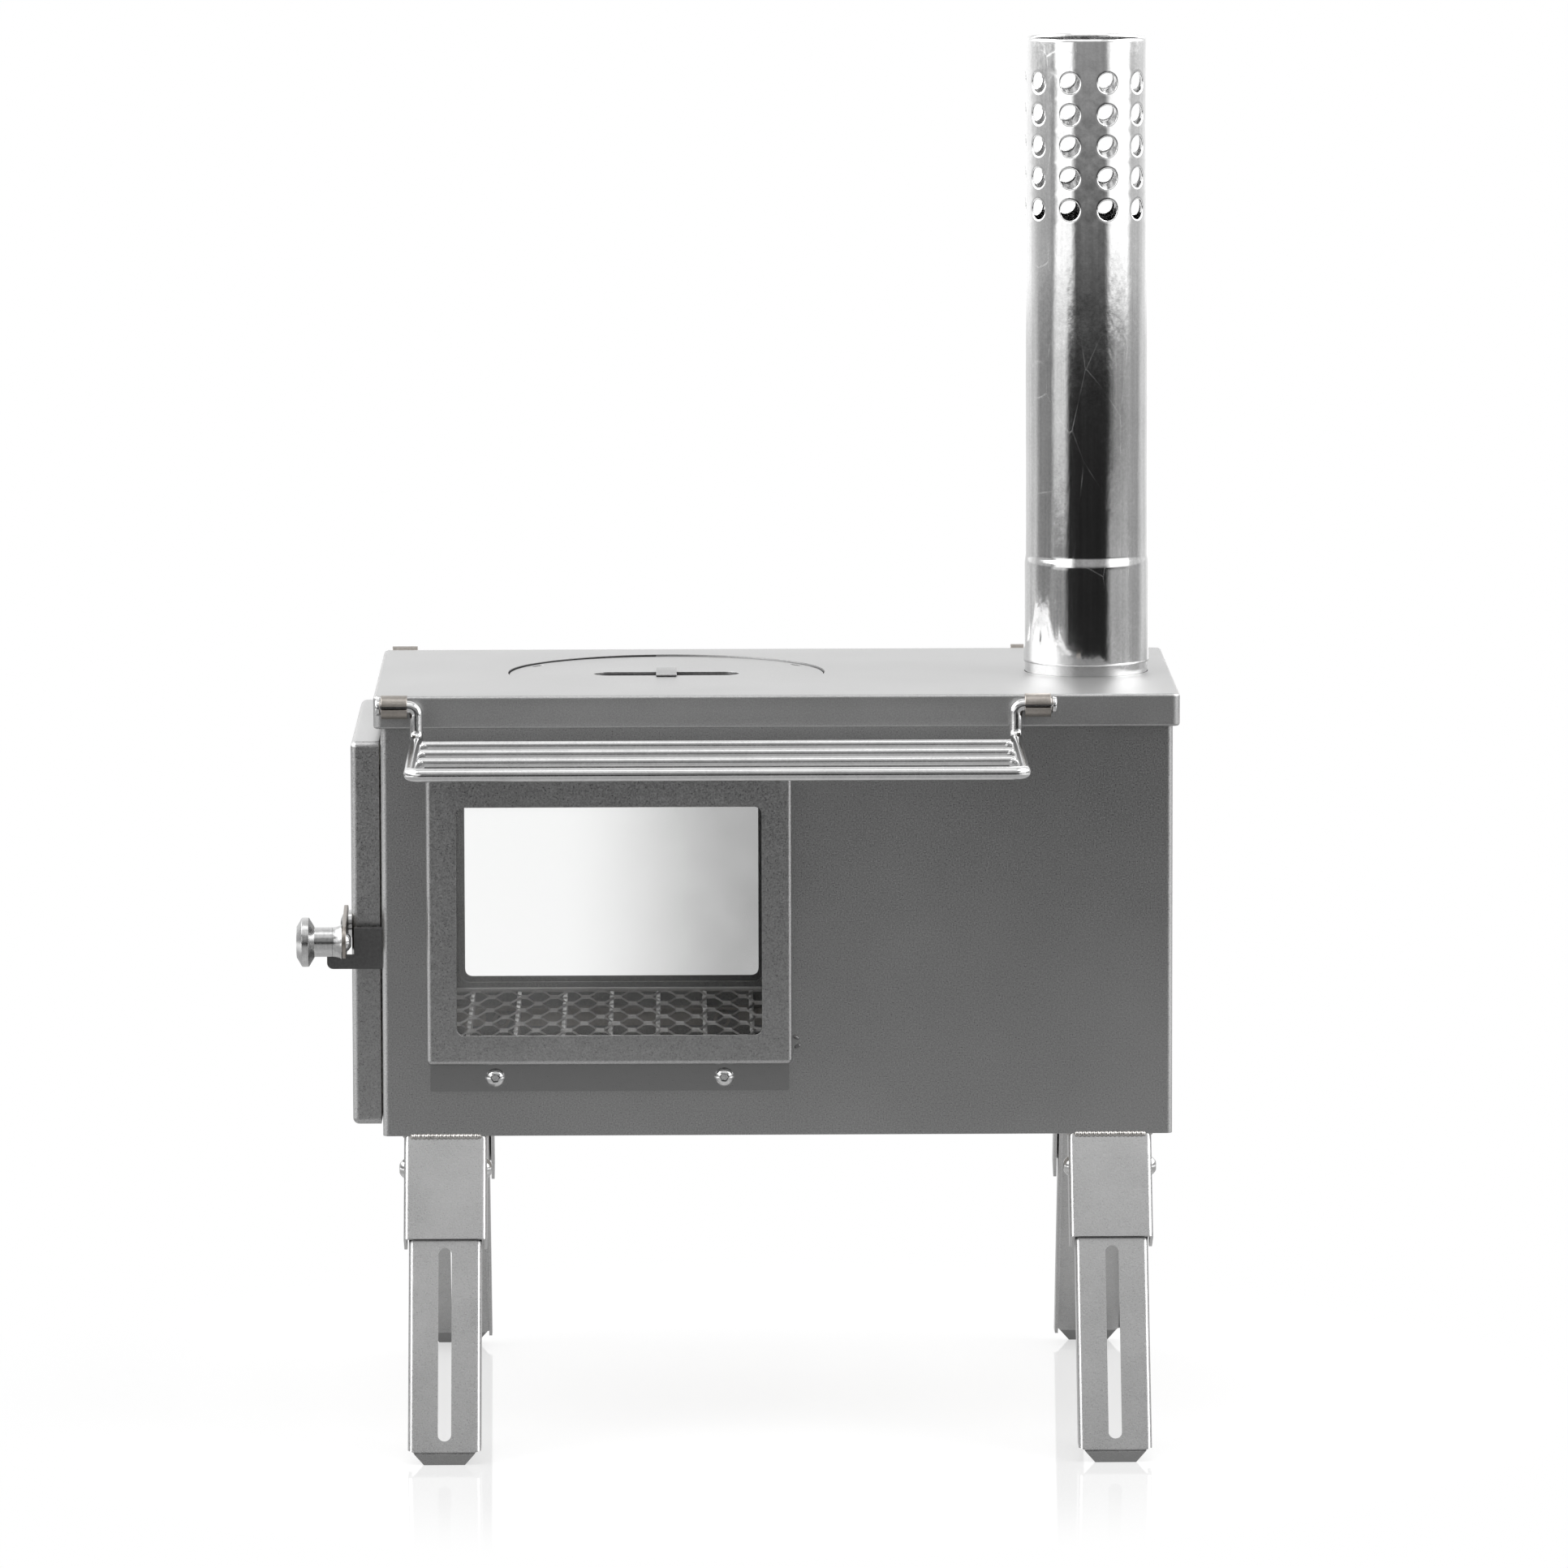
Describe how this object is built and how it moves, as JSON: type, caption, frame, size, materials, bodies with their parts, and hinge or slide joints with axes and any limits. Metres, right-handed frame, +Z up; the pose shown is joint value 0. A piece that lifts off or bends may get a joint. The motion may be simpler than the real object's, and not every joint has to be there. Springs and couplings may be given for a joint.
{
  "type": "tent wood stove",
  "caption": "Folding-leg tent wood stove in sheet steel with a window in each long side, a latched end door, a lift-out cooking disc, swing-over side racks and a lift-off flue section.",
  "frame": {"origin": "centre of the bounding box on the floor under the feet, with the legs and racks open", "axes": "+X from the door end to the flue end, +Y from the front window to the rear window, +Z up"},
  "size_m": [0.425, 0.4884, 0.672],
  "materials": {
    "body_sheet": "dark satin stainless sheet with a fine grain",
    "plate_sheet": "fine-brushed stainless sheet",
    "leg_sheet": "fine-grained stainless sheet",
    "polished_steel": "polished stainless",
    "barrel_steel": "warm grey turned steel",
    "plain_steel": "dull mill finish",
    "clear_glass": "clear heat-resistant glass",
    "fibre_seal": "woven glass-fibre rope and tape"
  },
  "bodies": {
    "firebox": {"front_wall": "body_sheet", "rear_wall": "body_sheet", "door_end_wall": "body_sheet", "flue_end_wall": "body_sheet", "floor_pan": "body_sheet", "top_plate": "plate_sheet", "disc_tabs": "plate_sheet", "flue_collar": "plate_sheet", "window_frame_front": "body_sheet", "window_frame_rear": "body_sheet", "window_glass_front": "clear_glass", "window_glass_rear": "clear_glass", "window_gasket_front": "fibre_seal", "window_gasket_rear": "fibre_seal", "window_screws_front": "polished_steel", "window_screws_rear": "polished_steel", "window_nuts_front": "plain_steel", "window_nuts_rear": "plain_steel", "grate_mesh": "plain_steel", "grate_bars": "plain_steel", "grate_ledges": "plain_steel", "leg_bracket_front_left": "leg_sheet", "leg_bracket_front_right": "leg_sheet", "leg_bracket_rear_left": "leg_sheet", "leg_bracket_rear_right": "leg_sheet", "leg_pins": "polished_steel", "rack_barrels_front": "barrel_steel", "rack_barrels_rear": "barrel_steel", "door_rope_seal": "fibre_seal", "door_hinge_fixed": "body_sheet", "door_hinge_pins": "polished_steel", "door_catch": "body_sheet"},
    "leg_front_left": {"leg_front_left": "leg_sheet"},
    "leg_front_right": {"leg_front_right": "leg_sheet"},
    "leg_rear_left": {"leg_rear_left": "leg_sheet"},
    "leg_rear_right": {"leg_rear_right": "leg_sheet"},
    "rack_front": {"rack_frame_front": "polished_steel", "rack_rods_front": "polished_steel"},
    "rack_rear": {"rack_frame_rear": "polished_steel", "rack_rods_rear": "polished_steel"},
    "door": {"door_pan": "body_sheet", "door_liner": "plain_steel", "door_liner_studs": "plain_steel", "door_hinge_moving": "body_sheet", "damper_rails": "plain_steel", "latch_pivot": "polished_steel"},
    "damper": {"damper_plate": "plain_steel", "damper_grip": "polished_steel"},
    "latch": {"latch_lever": "leg_sheet", "latch_knob": "polished_steel", "knob_screw": "polished_steel"},
    "disc": {"cook_disc": "plate_sheet", "disc_bridge": "polished_steel"},
    "flue": {"flue_pipe": "polished_steel"}
  },
  "joints": [
    {"name": "leg_front_left_fold", "type": "hinge", "parent": "firebox", "child": "leg_front_left", "pos_m": [-0.14173, -0.09726, 0.1318], "axis": [1, 0, 0], "range_deg": [0, 117]},
    {"name": "leg_front_right_fold", "type": "hinge", "parent": "firebox", "child": "leg_front_right", "pos_m": [0.17907, -0.09726, 0.1318], "axis": [1, 0, 0], "range_deg": [0, 117]},
    {"name": "leg_rear_left_fold", "type": "hinge", "parent": "firebox", "child": "leg_rear_left", "pos_m": [-0.14173, 0.09726, 0.1318], "axis": [-1, 0, 0], "range_deg": [0, 80]},
    {"name": "leg_rear_right_fold", "type": "hinge", "parent": "firebox", "child": "leg_rear_right", "pos_m": [0.17907, 0.09726, 0.1318], "axis": [-1, 0, 0], "range_deg": [0, 80]},
    {"name": "rack_front_swing", "type": "hinge", "parent": "firebox", "child": "rack_front", "pos_m": [-0.01049, -0.10905, 0.35741], "axis": [-1, 0, 0], "range_deg": [0, 183.5]},
    {"name": "rack_rear_swing", "type": "hinge", "parent": "firebox", "child": "rack_rear", "pos_m": [-0.01049, 0.10905, 0.35741], "axis": [1, 0, 0], "range_deg": [0, 179]},
    {"name": "door_swing", "type": "hinge", "parent": "firebox", "child": "door", "pos_m": [-0.17652, 0.0957, 0.24551], "axis": [0, 0, -1], "range_deg": [0, 120]},
    {"name": "damper_slide", "type": "slide", "parent": "door", "child": "damper", "axis": [0, 1, 0], "range_m": [0, 0.012]},
    {"name": "latch_turn", "type": "hinge", "parent": "door", "child": "latch", "pos_m": [-0.18868, -0.072, 0.24801], "axis": [-1, 0, 0], "range_deg": [0, 60]},
    {"name": "disc_lift", "type": "slide", "parent": "firebox", "child": "disc", "axis": [0, 0, 1], "range_m": [0, 0.06]},
    {"name": "flue_lift", "type": "slide", "parent": "firebox", "child": "flue", "axis": [0, 0, 1], "range_m": [0, 0.06]}
  ]
}
